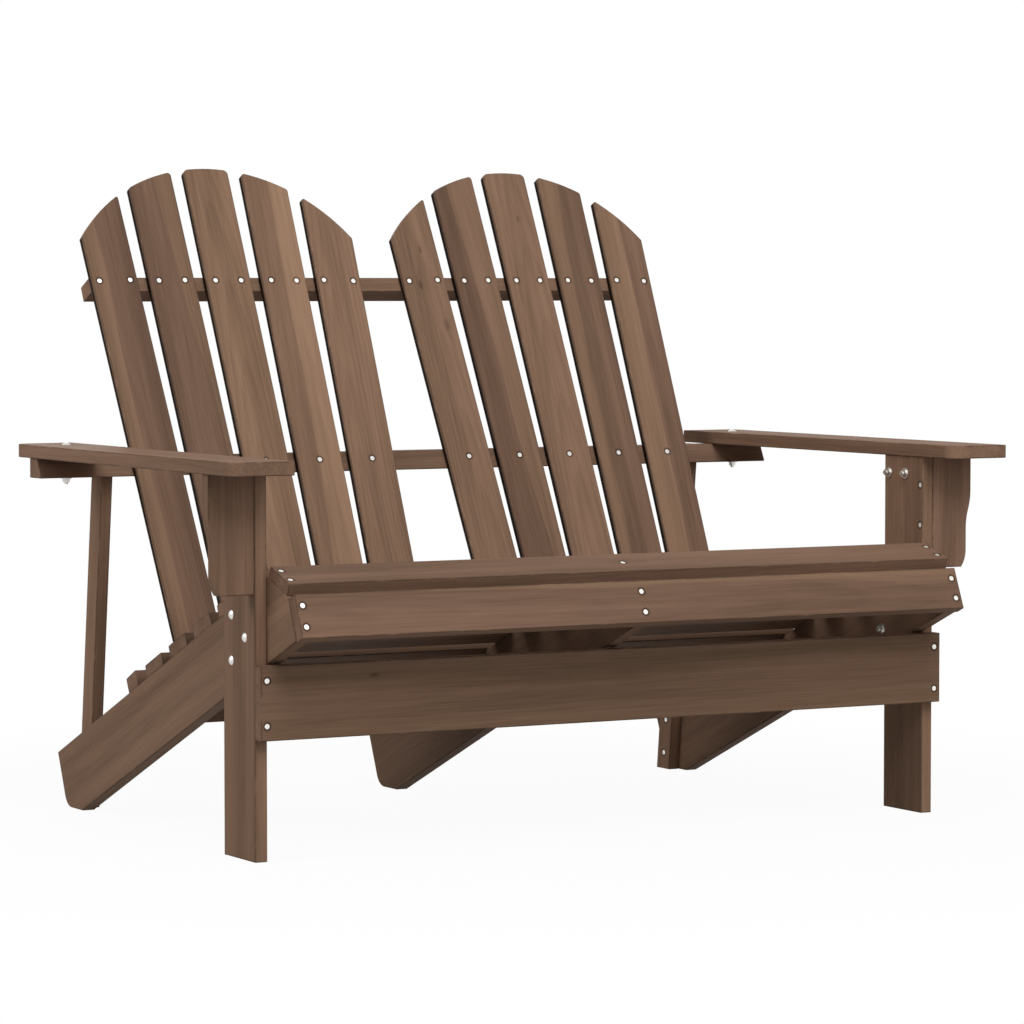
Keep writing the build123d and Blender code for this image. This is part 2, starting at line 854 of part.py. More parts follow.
# Fasteners
def one_screw(length):
    """A countersunk screw with a cross slot: its head is at the origin and its tip points down."""
    sink = screw_head_radius - screw_radius
    with BuildPart() as screw:
        with BuildSketch(Plane.XZ):
            with BuildLine():
                Polyline(
                    (0, -screw_recess),
                    (screw_head_radius, -screw_recess),
                    (screw_radius, -screw_recess - sink),
                    (screw_radius, screw_tip - length),
                    (0, -length),
                    close=True,
                )
            make_face()
        revolve(axis=Axis.Z)
        with BuildSketch(Plane.XY.offset(-screw_recess)):
            Rectangle(screw_slot_length, screw_slot_width)
            Rectangle(screw_slot_width, screw_slot_length)
        extrude(amount=-screw_slot_depth, mode=Mode.SUBTRACT)
    return screw.part


def set_of(piece, places, label):
    """The same fastener at each of its places, kept as one group."""
    with BuildPart() as fasteners:
        with Locations(*places):
            add(piece)
    save(fasteners.part, label)


short_screw = one_screw(short_screw_length)
long_screw = one_screw(long_screw_length)
set_of(short_screw, all_slat_screws("top"), "back_slat_top_screws")
set_of(short_screw, all_slat_screws("middle"), "back_slat_middle_screws")
set_of(short_screw, all_slat_screws("foot"), "back_slat_foot_screws")
set_of(short_screw, [place for places in seat_slat_screws_at for place in places], "seat_slat_screws")
set_of(short_screw, front_slat_screws_at, "front_slat_screws")
set_of(short_screw, nose_screws_at, "nose_screws")
set_of(short_screw, apron_screws_at, "apron_screws")
set_of(short_screw, flatten(bracket_screws_at), "bracket_screws")
set_of(short_screw, flatten(post_screws_at), "post_foot_screws")
set_of(long_screw, flatten(post_rail_screws_at), "post_rail_screws")
set_of(long_screw, lower_rail_screws_at, "lower_rail_screws")
set_of(long_screw, flatten(cleat_screws_at), "arm_cleat_screws")


def one_bolt(grip):
    """A domed bolt: its head sits on the origin's plane and its shank points down."""
    dome_radius = (bolt_head_radius**2 + bolt_head_height**2) / (2 * bolt_head_height)
    length = grip + washer_thickness + nut_height + bolt_end
    with BuildPart() as bolt:
        with BuildSketch(Plane.XZ):
            with BuildLine():
                Polyline((bolt_head_radius, 0), (bolt_radius, 0), (bolt_radius, -length), (0, -length))
                Line((0, -length), (0, bolt_head_height))
                RadiusArc((0, bolt_head_height), (bolt_head_radius, 0), dome_radius)
            make_face()
        revolve(axis=Axis.Z)
    return bolt.part


def one_washer(grip):
    """A washer at the far side of what the bolt grips."""
    with BuildPart() as washer:
        with BuildSketch(Plane.XY.offset(-grip - washer_thickness)):
            Circle(washer_radius)
            Circle(bolt_radius + bolt_clearance, mode=Mode.SUBTRACT)
        extrude(amount=washer_thickness)
    return washer.part


def one_nut(grip):
    """A hexagon nut under the washer."""
    with BuildPart() as nut:
        with BuildSketch(Plane.XY.offset(-grip - washer_thickness - nut_height)):
            RegularPolygon(nut_width / 2, nut_sides, major_radius=False)
            Circle(bolt_radius + bolt_clearance, mode=Mode.SUBTRACT)
        extrude(amount=nut_height)
    return nut.part


bolt_families = {
    "leg_bolt": (flatten(leg_bolts_at), leg_thickness + stringer_thickness),
    "cleat_bolt": (flatten(cleat_bolts_at), cleat_thickness + leg_thickness),
    "arm_bolt": (flatten(arm_bolts_at), arm_thickness + middle_rail_height),
}
for family, (places, grip) in bolt_families.items():
    set_of(one_bolt(grip), places, family + "s")
    set_of(one_washer(grip), places, family + "_washers")
    set_of(one_nut(grip), places, family + "_nuts")

# Dowels between the stringers and the cross braces
with BuildPart() as brace_dowel:
    with BuildSketch(Plane.XY.offset(-dowel_in_stringer)):
        Circle(dowel_radius)
    extrude(amount=dowel_in_stringer + dowel_in_brace)
set_of(brace_dowel.part, flatten(side_dowels_at) + flatten(middle_dowels_at), "brace_dowels")
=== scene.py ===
# %% [markdown]
# # A two-seat garden chair of stained boards
# The real chair is a kit of planed softwood boards, stained mid brown, that screws and bolts hold together.
# Its solids come from the CAD model, so this script gives each board its own grain and each fastener its
# metal, and then lights and frames the whole chair. Nothing is soft here, so no shape has to be draped or
# bent.

from math import cos, radians, sin

import bmesh
import bpy
from mathutils import Matrix, Vector

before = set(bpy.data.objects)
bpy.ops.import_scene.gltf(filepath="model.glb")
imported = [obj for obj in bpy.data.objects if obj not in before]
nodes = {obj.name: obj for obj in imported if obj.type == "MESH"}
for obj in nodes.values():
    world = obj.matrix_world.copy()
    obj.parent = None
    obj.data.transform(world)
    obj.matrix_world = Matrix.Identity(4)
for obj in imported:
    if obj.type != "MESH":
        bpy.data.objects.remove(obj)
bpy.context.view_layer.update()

# %% [markdown]
# ## The directions of the boards
# Wood shows its grain along each board, so every board needs three directions: along its grain, across its
# width and through its thickness. A third of the boards are level or upright. The others slope with the
# seat, with the front of the seat, with the reclined back or with the rear posts. The directions could be
# measured from each mesh. The angles that the CAD model uses give them with fewer steps, and keep them
# square to each other.

# %% Directions
seat_slope = radians(23.0)
front_tilt = radians(19.8)
back_recline = radians(25.9)
post_lean = radians(6.3)

across = Vector((1, 0, 0))
behind = Vector((0, 1, 0))
up = Vector((0, 0, 1))
up_the_slope = Vector((0, -cos(seat_slope), sin(seat_slope)))
off_the_slope = Vector((0, sin(seat_slope), cos(seat_slope)))
down_the_front = Vector((0, -cos(front_tilt), -sin(front_tilt)))
off_the_front = Vector((0, -sin(front_tilt), cos(front_tilt)))
up_the_back = Vector((0, sin(back_recline), cos(back_recline)))
through_the_back = Vector((0, cos(back_recline), -sin(back_recline)))
up_the_post = Vector((0, -sin(post_lean), cos(post_lean)))
through_the_post = Vector((0, cos(post_lean), sin(post_lean)))
print("the back reclines so that each metre up goes", round(up_the_back.y / up_the_back.z, 3), "metres back")

# %% [markdown]
# ### The fans of the back
# The five slats of each back spread like a hand fan, and the grain of each slat leans with it. A separate
# angle could be kept for each slat, but the CAD model's slats lean in equal steps. So one step, times the
# slat's number counted from the middle of its fan, turns the directions of the back.

# %% Fanned slats
fan_step = radians(0.93)


def fanned(number):
    """Grain, width and thickness of a back slat, by its number from the middle of its fan."""
    turn = Matrix.Rotation(number * fan_step, 3, through_the_back)
    return turn @ up_the_back, turn @ across, through_the_back


print("the second slat leans", round(fanned(1)[0].x, 4), "sideways for each metre up")

# %% [markdown]
# ## The list of boards
# Each line names a board and its directions along the grain, across the width and through the thickness.
# The two sides of the chair have the same boards, so a pair is written once and its two names are made in a
# loop.

# %% Boards
boards = {
    "apron": (across, up, behind),
    "nose_board": (across, off_the_slope, up_the_slope),
    "front_seat_slat": (across, down_the_front, off_the_front),
    "cross_brace_left": (across, up, behind),
    "cross_brace_right": (across, up, behind),
    "lower_back_rail": (across, up_the_back, through_the_back),
    "middle_back_rail": (across, behind, up),
    "top_back_rail": (across, up_the_back, through_the_back),
    "middle_stringer": (up_the_slope, off_the_slope, across),
}
paired_boards = {
    "front_leg": (up, behind, across),
    "side_stringer": (up_the_slope, off_the_slope, across),
    "arm": (behind, across, up),
    "arm_bracket": (up, across, behind),
    "arm_cleat": (behind, up, across),
    "rear_post": (up_the_post, through_the_post, across),
}
for side in ("left", "right"):
    for name, directions in paired_boards.items():
        boards[f"{name}_{side}"] = directions
    for number in range(1, 6):
        boards[f"back_slat_{side}_{number}"] = fanned(number - 3)
for number in range(1, 6):
    boards[f"seat_slat_{number}"] = (across, up_the_slope, off_the_slope)
print(len(boards), "boards")

# %% [markdown]
# ## How each board looks
# Boards of one chair come from different planks, and this is what makes a wooden chair look real. Some are
# mostly reddish heartwood, some are paler and browner sapwood, and some show the border between the two as
# a line. Tone is how light the board is, and red is its share of heartwood colour. Beside the planks' own
# differences, the tones also make up for differences of light between the boards, so they are partly
# painted light and shade. Figure is how clearly its growth rings show. Sap tells where the pale part
# begins, from -1 to 1 across the width, and on which side of that line it lies. Contrast is how much
# lighter it is, and lean is how many half widths the line drifts in a metre of grain. A knot is given by
# its place along the board in metres, its place across it in half widths, and its radius. In the
# photograph the sides of the back slats are nearly black, and here they get painted shade, as if shadowed
# in the narrow gaps between the slats; the key sides says how much of the colour they keep. Painted
# pictures could do this too, but a small table of such words is much easier to adjust.

# %% Looks of the back slats
# Painted light and shade in part: beside the planks' own differences, these tones make up for differences of
# light between the boards.
looks = {
    "back_slat_left_1": {"tone": 0.91, "red": 1.0, "sap": (-0.30, -1)},
    "back_slat_left_2": {"tone": 0.95, "red": 0.95, "sap": (0.75, 1), "lean": -1.2, "contrast": 1.1},
    "back_slat_left_3": {"tone": 1.26, "red": 0.1, "figure": 1.1},
    "back_slat_left_4": {"tone": 1.22, "red": 0.6, "sap": (0.02, 1), "lean": 0.7, "contrast": 1.22},
    "back_slat_left_5": {"tone": 1.28, "red": 0.35, "figure": 1.1},
    "back_slat_right_1": {"tone": 1.24, "red": 0.35, "figure": 1.0},
    "back_slat_right_2": {"tone": 0.93, "red": 0.95, "sap": (0.25, 1), "lean": -1.4, "contrast": 1.22},
    "back_slat_right_3": {"tone": 1.2, "red": 0.3, "figure": 1.2},
    "back_slat_right_4": {"tone": 1.03, "red": 0.75, "sap": (-0.35, -1), "lean": 0.8, "contrast": 1.15},
    "back_slat_right_5": {"tone": 1.10, "red": 1.0, "sap": (-0.12, -1), "contrast": 1.32},
}
# Painted shade: the sides of the back slats keep only this share of their colour.
shaded_side_share = 0.08
for look in looks.values():
    look["sides"] = shaded_side_share
looks["back_slat_right_1"]["knots"] = [(0.30, 0.2, 0.004), (0.24, -0.2, 0.005), (0.17, 0.55, 0.006)]
looks["back_slat_right_3"]["knots"] = [(0.33, 0.2, 0.003)]
print(len(looks), "back slats have a look of their own")

# %% [markdown]
# ### The frame and the seat
# The same words describe the other boards. One is new: edge is how light a board's narrow edges are
# against its faces. It is painted light: it makes the front edges of the legs paler, as if more light fell
# on them. A board that isn't named gets a tone and a share of red from its number in the list of names, so
# that neighbours in the list differ. They could be typed in for every board, but the boards without a name
# here are hardly seen or look much alike.

# %% Looks of the other boards
# These tones too are partly painted light and shade, making up for differences of light between boards.
looks.update({
    "top_back_rail": {"tone": 1.24, "red": 0.5},
    "middle_back_rail": {"tone": 1.0, "red": 0.5},
    "arm_left": {"tone": 1.13, "red": 0.7},
    # Painted light: edge makes the narrow edges of a board lighter or darker than its faces.
    "arm_right": {"tone": 1.14, "red": 0.4, "edge": 0.95},
    "arm_bracket_left": {"tone": 1.08, "red": 0.5},
    "arm_bracket_right": {"tone": 1.30, "red": 0.8},
    "front_leg_left": {"tone": 1.02, "red": 0.3, "edge": 1.2},
    "front_leg_right": {"tone": 1.01, "red": 0.3, "edge": 1.35},
    "side_stringer_left": {"tone": 1.06, "red": 0.2, "figure": 0.4},
    "side_stringer_right": {"tone": 1.02, "red": 0.3},
    "middle_stringer": {"tone": 0.81, "red": 0.4},
    "rear_post_left": {"tone": 1.21, "red": 0.4},
    "rear_post_right": {"tone": 1.4, "red": 0.3},
    "apron": {"tone": 0.96, "red": 0.25, "figure": 0.3, "sap": (-0.5, -1), "contrast": 1.13},
    "nose_board": {"tone": 1.00, "red": 0.9, "sap": (0.72, 1), "lean": -0.5, "contrast": 1.15},
    "front_seat_slat": {"tone": 1.02, "red": 0.8, "edge": 1.05},
})
looks["apron"]["knots"] = [(-0.38, 0.62, 0.004)]
plain_look = {"sap": None, "lean": 0.0, "contrast": 1.3, "figure": 0.5, "knots": []}
plain_look.update({"edge": 1.0, "sides": 1.0})


def look_of(name, seed):
    """A board's look, with plain values where the tables say nothing."""
    varied = {"red": 0.35 + 0.09 * (seed * 7 % 6), "tone": 0.97 + 0.03 * (seed * 5 % 4)}
    return {**plain_look, **varied, **looks.get(name, {})}


print("an unnamed board with the number 1 would look like", look_of("an unnamed board", 1))

# %% [markdown]
# ## Stained timber
# A stained softwood board shows growth rings cut lengthwise, as long lines that wander and now and then
# close into arches, fine fibres between them, a paler part where sapwood meets heartwood, and the odd knot
# with the lines bent round it. An image would repeat from board to board, so the pattern is calculated by
# shader nodes. A few helpers come first, because a node that is made, set and linked by hand takes four
# lines each time.

# %% Helpers for sums
def node(tree, kind, **values):
    """Adds a node and sets its fields and its unlinked inputs."""
    made = tree.nodes.new(kind)
    for key, value in values.items():
        if hasattr(made, key):
            setattr(made, key, value)
        else:
            made.inputs[key.replace("_", " ")].default_value = value
    return made


def maths(tree, operation, *terms):
    """A Math node whose inputs are numbers or sockets."""
    made = node(tree, "ShaderNodeMath", operation=operation)
    for place, term in enumerate(terms):
        if isinstance(term, (int, float)):
            made.inputs[place].default_value = term
        else:
            tree.links.new(term, made.inputs[place])
    return made.outputs[0]


def long_side(tree, one, other):
    """The length of a step that goes by one in one direction and by other across it."""
    squares = maths(tree, "ADD", maths(tree, "POWER", one, 2), maths(tree, "POWER", other, 2))
    return maths(tree, "SQRT", squares)


print("made three helpers for sums: node, maths and long_side")

# %% [markdown]
# ### Ramps, noise and colours
# Three more helpers. A ramp turns one range of numbers into another with soft ends. Noise is stretched by
# multiplying the place before it is looked up, so a small number along the grain makes long streaks. A
# blend mixes two colours. A Color Ramp node could do much of this, but its stops are harder to read in a
# script. Most values of the noise lie between 0.3 and 0.7, so many ramps run between these two.

# %% Helpers for patterns
noise_low, noise_high = 0.3, 0.7


def ramp(tree, value, low, high, to_low=0.0, to_high=1.0):
    """Turns value from low to high into to_low to to_high, with soft ends."""
    made = node(tree, "ShaderNodeMapRange", interpolation_type="SMOOTHSTEP")
    tree.links.new(value, made.inputs[0])
    for place, number in enumerate((low, high, to_low, to_high), start=1):
        made.inputs[place].default_value = number
    return made.outputs[0]


def noise(tree, place, stretch, detail, rough=0.5):
    """Noise with so many waves to the metre in each direction. Place is a vector socket."""
    scaled = node(tree, "ShaderNodeVectorMath", operation="MULTIPLY")
    tree.links.new(place, scaled.inputs[0])
    scaled.inputs[1].default_value = stretch
    made = node(tree, "ShaderNodeTexNoise", Scale=1.0, Detail=detail, Roughness=rough)
    tree.links.new(scaled.outputs[0], made.inputs["Vector"])
    return made.outputs["Fac"]


def blend(tree, factor, one, other):
    """Mixes two colours, each a socket or a value."""
    made = node(tree, "ShaderNodeMix", data_type="RGBA")
    for socket, value in ((made.inputs[0], factor), (made.inputs[6], one), (made.inputs[7], other)):
        if hasattr(value, "links"):
            tree.links.new(value, socket)
        else:
            socket.default_value = value
    return made.outputs[2]


print("made three helpers for patterns: ramp, noise and blend")

# %% [markdown]
# ### Where a point lies in its board
# A pattern that follows the grain needs places measured in the board's own directions, from its middle. The
# board's own corners give its middle and its half sizes, and a Mapping node then turns Object coordinates
# into places along, across and through the board. Unwrapping each board would also do, but this needs no UV
# map.

# %% Places in a board
def middle_in(turn, points):
    """Middle and half size of some points, in turned directions."""
    turned = [turn @ point for point in points]
    low = Vector([min(point[k] for point in turned) for k in range(3)])
    high = Vector([max(point[k] for point in turned) for k in range(3)])
    return (low + high) / 2, (high - low) / 2


def board_frame(name, directions):
    """The turn into a board's own directions, and its middle and half sizes along them."""
    turn = Matrix(directions)
    if turn.determinant() < 0:
        turn[2] = -turn[2]
    middle, half = middle_in(turn, [vertex.co for vertex in nodes[name].data.vertices])
    return turn, middle, half


def board_places(tree, name, directions):
    """Vector socket of places in the board, its three parts, and the board's half sizes."""
    turn, middle, half = board_frame(name, directions)
    coordinates = node(tree, "ShaderNodeTexCoord")
    turned = node(tree, "ShaderNodeMapping")
    turned.inputs["Rotation"].default_value = turn.to_euler("XYZ")
    turned.inputs["Location"].default_value = -middle
    tree.links.new(coordinates.outputs["Object"], turned.inputs["Vector"])
    parts = node(tree, "ShaderNodeSeparateXYZ")
    tree.links.new(turned.outputs[0], parts.inputs[0])
    return turned.outputs[0], parts.outputs, half


print("the apron's half sizes are", [round(part, 4) for part in board_frame("apron", boards["apron"])[2]])

# %% [markdown]
# ### Knots
# A knot is a branch cut across: a small dark oval, and round it the lines of the grain swing aside and
# darken. It could be a picture laid on the board. Here each knot is a bell-shaped hill in the pattern
# instead, because the hill can also push the growth rings aside, which bends the lines round it. Its top is
# coloured dark.

# %% Knots
knot_squash = 0.42
hill_width = 3.2
core_blur = 0.35


def knot_hills(tree, along, wide, knots, half_width):
    """Sum of the knots' hills, and the dark cores at their tops, or None for both without knots."""
    hill, core = None, None
    for knot_along, knot_wide, knot_radius in knots:
        run = maths(tree, "MULTIPLY", maths(tree, "SUBTRACT", along, knot_along), knot_squash)
        rise = maths(tree, "SUBTRACT", wide, knot_wide * half_width)
        apart = long_side(tree, run, rise)
        one_hill = ramp(tree, apart, knot_radius * hill_width, 0.0)
        one_core = ramp(tree, apart, knot_radius, knot_radius * core_blur)
        hill = one_hill if hill is None else maths(tree, "ADD", hill, one_hill)
        core = one_core if core is None else maths(tree, "ADD", core, one_core)
    return hill, core


print(sum(len(look.get("knots", [])) for look in looks.values()), "knots are placed by hand")

# %% [markdown]
# ### The screws, one by one
# A dark ring surrounds each screw head: painted shade of its countersunk hole. To draw the rings, the
# script has to know where the heads are. They could be typed in as a list, but the screws' own meshes
# already tell it: each loose part of a mesh is one screw. The table gives each group's axis. It leaves out
# the screws under the arms, which can't be seen.

# %% Loose parts of the screws
screws = {
    "back_slat_top_screws": through_the_back,
    "back_slat_middle_screws": through_the_back,
    "back_slat_foot_screws": through_the_back,
    "seat_slat_screws": off_the_slope,
    "front_slat_screws": off_the_front,
    "nose_screws": up_the_slope,
    "apron_screws": behind,
    "bracket_screws": across,
    "post_foot_screws": across,
    "post_rail_screws": through_the_post,
    "lower_rail_screws": off_the_slope,
}
same_place = 0.00001


def loose_parts(mesh):
    """The vertices of each loose part of a mesh, as lists of places."""
    shape = bmesh.new()
    shape.from_mesh(mesh)
    bmesh.ops.remove_doubles(shape, verts=shape.verts, dist=same_place)
    seen, parts = set(), []
    for first in shape.verts:
        if first in seen:
            continue
        seen.add(first)
        part, waiting = [], [first]
        while waiting:
            vertex = waiting.pop()
            part.append(vertex.co.copy())
            for link in vertex.link_edges:
                other = link.other_vert(vertex)
                if other not in seen:
                    seen.add(other)
                    waiting.append(other)
        parts.append(part)
    shape.free()
    return parts


screw_parts = {name: loose_parts(nodes[name].data) for name in screws}
print({name: len(parts) for name, parts in screw_parts.items()})

# %% [markdown]
# ### Screw heads in a board
# A screw belongs to a board's face if it stands across the board, lies within the board's outline and ends
# at the face. The drilled holes could be searched for in the board's mesh instead, but three comparisons in
# the board's own directions are much shorter.

# %% Heads on a board
screw_slimness = 1.5
flush = 0.002


def heads_on(name, directions):
    """Places (along, across) of the screws that stand across a board and end at its face."""
    turn, middle, half = board_frame(name, directions)
    found = []
    for parts in screw_parts.values():
        for part in parts:
            place, size = middle_in(turn, part)
            place -= middle
            inside = abs(place.x) < half.x and abs(place.y) < half.y
            stands = size.z > screw_slimness * max(size.x, size.y)
            at_face = min(abs(abs(place.z + end * size.z) - half.z) for end in (-1, 1)) < flush
            if inside and stands and at_face:
                found.append((place.x, place.y))
    return found


heads_per_board = {name: len(heads_on(name, directions)) for name, directions in boards.items()}
print("heads on boards:", {name: count for name, count in heads_per_board.items() if count})

# %% [markdown]
# ### How far the nearest head is
# A ring round a head is a pattern of the distance to that head. With several heads on a board, the smallest
# of the distances counts. One Vector Math node for each head measures it, after the depth has been set to
# zero, so that the ring is the same on the face and down in the hole.

# %% Distance to the nearest head
def nearest_head(tree, place, heads):
    """Distance to the nearest screw's axis."""
    flat = node(tree, "ShaderNodeVectorMath", operation="MULTIPLY")
    tree.links.new(place, flat.inputs[0])
    flat.inputs[1].default_value = (1, 1, 0)
    nearest = None
    for head in heads:
        reach = node(tree, "ShaderNodeVectorMath", operation="DISTANCE")
        tree.links.new(flat.outputs[0], reach.inputs[0])
        reach.inputs[1].default_value = (head[0], head[1], 0)
        apart = reach.outputs["Value"]
        nearest = apart if nearest is None else maths(tree, "MINIMUM", nearest, apart)
    return nearest


apron_heads = heads_on("apron", boards["apron"])
print("the apron's heads are at", [(round(along, 3), round(wide, 3)) for along, wide in apron_heads])

# %% [markdown]
# ### Wandering lines
# No tree grows quite straight, so the lines of the grain wander: a slow sway along the board, a small
# ripple on it, and a push aside at each knot. The rings and the border of the sapwood could each be bent on
# their own. It is simpler to move the place across the board once, before either is drawn, and then both
# bend in the same way.

# %% Wandering lines
sway_stretch, sway_width = (1.5, 5.0, 5.0), 0.05
ripple_stretch, ripple_width = (6.0, 24.0, 24.0), 0.007
knot_push = 0.012


def wandering(tree, own, wide, hill):
    """The place across the board after sway, ripple and knots have moved the lines."""
    sway = maths(tree, "SUBTRACT", noise(tree, own, sway_stretch, 2), 0.5)
    ripple = maths(tree, "SUBTRACT", noise(tree, own, ripple_stretch, 2), 0.5)
    bent = maths(tree, "MULTIPLY_ADD", sway, sway_width, wide)
    bent = maths(tree, "MULTIPLY_ADD", ripple, ripple_width, bent)
    if hill is not None:
        bent = maths(tree, "MULTIPLY_ADD", hill, knot_push, bent)
    return bent


print("the grain sways by", sway_width / 2, "metres to each side at most")

# %% [markdown]
# ### Growth rings
# Each year a tree adds a wide pale ring and then a thin dark one of late wood. A board is cut beside the
# pith, the middle of the tree, so its face shows the rings as long lines. A Wave Texture could draw rings
# too, but here the share of late wood in a ring can be set freely. The rings are counted outwards from a
# pith line a few centimetres outside the board, which slants a little, and the fraction of that count tells
# the pale part of a ring from its late wood.

# %% Growth rings
rings_per_metre = 190.0
pith_offset = 0.25
pith_slant = 0.04
nearest_pith, pith_step = 0.028, 0.008
late_begins, late_full, late_fades = 0.2, 0.85, 0.88


def late_wood(tree, along, bent, deep, half_width, seed):
    """1 in the dark late wood of a ring, 0 in its pale part."""
    pith_wide = (pith_offset if seed % 2 else -pith_offset) * half_width
    pith_deep = nearest_pith + pith_step * (seed % 4)
    out_wide = maths(tree, "SUBTRACT", bent, pith_wide)
    out_deep = maths(tree, "ADD", maths(tree, "MULTIPLY_ADD", along, pith_slant, deep), pith_deep)
    count = maths(tree, "MULTIPLY", long_side(tree, out_wide, out_deep), rings_per_metre)
    ring = maths(tree, "FRACT", count)
    darkening, ending = ramp(tree, ring, late_begins, late_full), ramp(tree, ring, 1.0, late_fades)
    return maths(tree, "MULTIPLY", darkening, ending)


print("a ring is", round(1000 / rings_per_metre, 1), "mm wide")

# %% [markdown]
# ### Bands, streaks and fibres
# Between its rings a plank is still not even: broad bands turn from redder to browner, narrower streaks lie
# in them, and the fibres themselves are finer than a millimetre. One noise with many levels of detail could
# hold all of this, but three separate ones can be made stronger or weaker one at a time.

# %% Bands, streaks and fibres
band_stretch, band_shade, band_red = (1.1, 22.0, 22.0), 0.14, 1.6
streak_stretch, streak_shade = (1.9, 70.0, 70.0), 0.07
fibre_stretch, fibre_shade = (8.0, 330.0, 330.0), 0.10
band_low, band_high = 0.35, 0.65


def plank(tree, own, red_share):
    """How much lighter or darker than its board a point is, its share of red, and its fibres."""
    fibre = noise(tree, own, fibre_stretch, 4, 0.65)
    streak = noise(tree, own, streak_stretch, 4, 0.6)
    band = noise(tree, own, band_stretch, 2)
    red = maths(tree, "MULTIPLY_ADD", maths(tree, "SUBTRACT", band, 0.5), band_red, red_share)
    streaks = ramp(tree, streak, noise_low, noise_high, -streak_shade, streak_shade)
    bands = ramp(tree, band, band_low, band_high, -band_shade, band_shade)
    fibres = ramp(tree, fibre, noise_low, noise_high, -fibre_shade, fibre_shade)
    return maths(tree, "ADD", maths(tree, "ADD", streaks, bands), fibres), red, fibre


print("bands change a board's lightness by up to", band_shade, "either way")

# %% [markdown]
# ### Rings, sapwood and knots on the plank
# Late wood darkens the plank, sapwood makes it lighter and less red, and knots darken it. The border of the
# sapwood wanders as the rings do, because in a tree it runs along with them. Each of these is an amount
# added to the lightness, which is easier to keep in balance than a stack of mixed colours.

# %% Figure of a board
ring_shade = -0.085
border_blur = 0.0015
sapwood_red = -0.8
hill_shade, core_shade = -0.07, -0.28


def figured(tree, shade, red, look, late, along, bent, half_width, hill, core):
    """Lightness and red of a plank after its rings, its sapwood and its knots."""
    shade = maths(tree, "MULTIPLY_ADD", late, ring_shade * look["figure"], shade)
    if look["sap"]:
        border, side = look["sap"]
        line = maths(tree, "MULTIPLY_ADD", along, -look["lean"] * half_width, bent)
        begins, blur = border * half_width, border_blur * side
        pale = ramp(tree, line, begins - blur, begins + blur)
        shade = maths(tree, "MULTIPLY_ADD", pale, look["contrast"] - 1.0, shade)
        red = maths(tree, "MULTIPLY_ADD", pale, sapwood_red, red)
    if core is not None:
        shade = maths(tree, "MULTIPLY_ADD", hill, hill_shade, shade)
        shade = maths(tree, "MULTIPLY_ADD", core, core_shade, shade)
    return shade, red


print("boards with a sapwood border:", sum(1 for look in looks.values() if look.get("sap")))

# %% [markdown]
# ### Worn edges, with painted light and shade
# Stain gathers on the arrises, where two faces meet, and here and there it is rubbed off again. Round each
# screw hole a dark ring is painted shade. The sides of the back slats get painted shade that makes them
# nearly black, but the few millimetres next to their front faces keep their colour. Narrow edges can get
# painted light, lighter or darker than their faces. A Bevel node could find edges too, but it traces rays
# of its own, and here the board's half sizes give the distance to its edges directly.

# %% Edges and holes
arris_width, arris_core = 0.0024, 0.0006
rub_stretch, rub_low, rub_high = (30.0, 60.0, 60.0), 0.5, 0.7
darkened, rubbed_pale = 0.62, 1.05
# Painted shade: the ring round each screw head, and the share of the colour it keeps.
ring_inside, ring_outside, hole_ring_shade = 0.0046, 0.0076, 0.40
# Where the painted shade on the sides of the back slats lies, and where it begins behind the front arris.
side_reach, side_core = 0.0009, 0.0002
arris_front, arris_back = 0.0032, 0.0045
# Where the painted light on narrow edges lies.
painted_edge_core, painted_edge_reach = 0.0003, 0.0012


def edge_gap(tree, part, half_size):
    """Distance from the board's end, edge or face in one direction."""
    return maths(tree, "SUBTRACT", half_size, maths(tree, "ABSOLUTE", part))


def arris_stain(tree, own, to_end, to_edge, to_face):
    """Share of the colour left on and near the arrises, more where they are rubbed."""
    near, far = maths(tree, "MINIMUM", to_edge, to_face), maths(tree, "MAXIMUM", to_edge, to_face)
    arris = maths(tree, "MAXIMUM", near, maths(tree, "MINIMUM", far, to_end))
    rubbed = ramp(tree, noise(tree, own, rub_stretch, 3), rub_low, rub_high, darkened, rubbed_pale)
    on_arris = ramp(tree, arris, arris_width, arris_core)
    return maths(tree, "MULTIPLY_ADD", on_arris, maths(tree, "SUBTRACT", rubbed, 1.0), 1.0)


def painted_hole_shade(tree, place, heads):
    """Share of the colour left in the rings of painted shade round the screw heads."""
    return ramp(tree, nearest_head(tree, place, heads), ring_inside, ring_outside, hole_ring_shade, 1.0)


def painted_side_shade(tree, to_edge, deep, half_depth, sides):
    """Share of the colour left on the narrow sides under painted shade, behind the front arris."""
    on_side = ramp(tree, to_edge, side_reach, side_core)
    behind_arris = ramp(tree, deep, arris_front - half_depth, arris_back - half_depth)
    side_face = maths(tree, "MULTIPLY", on_side, behind_arris)
    return maths(tree, "MULTIPLY_ADD", side_face, sides - 1.0, 1.0)


# The ring of painted shade reaches this far from a screw's axis.
print("a stained ring reaches", round(1000 * ring_outside, 1), "mm from a screw's axis")

# %% [markdown]
# ### Colour, roughness and bump
# The hue lies between the brown of the heartwood and that of the sapwood, and the lightness scales it. Matt
# stain hardly shines, so the specular level is low, and the roughness follows the fibres. The same fibres
# and the late wood also drive a very small bump, so that the surface catches the light where the colour
# says it should.

# %% Surface of stained wood
heart_brown = (0.235, 0.140, 0.095, 1)
sap_brown = (0.250, 0.153, 0.098, 1)
smoothest, roughest, stain_shine = 0.52, 0.64, 0.03
relief_strength, fibre_relief, late_relief = 0.3, 0.0004, -0.4


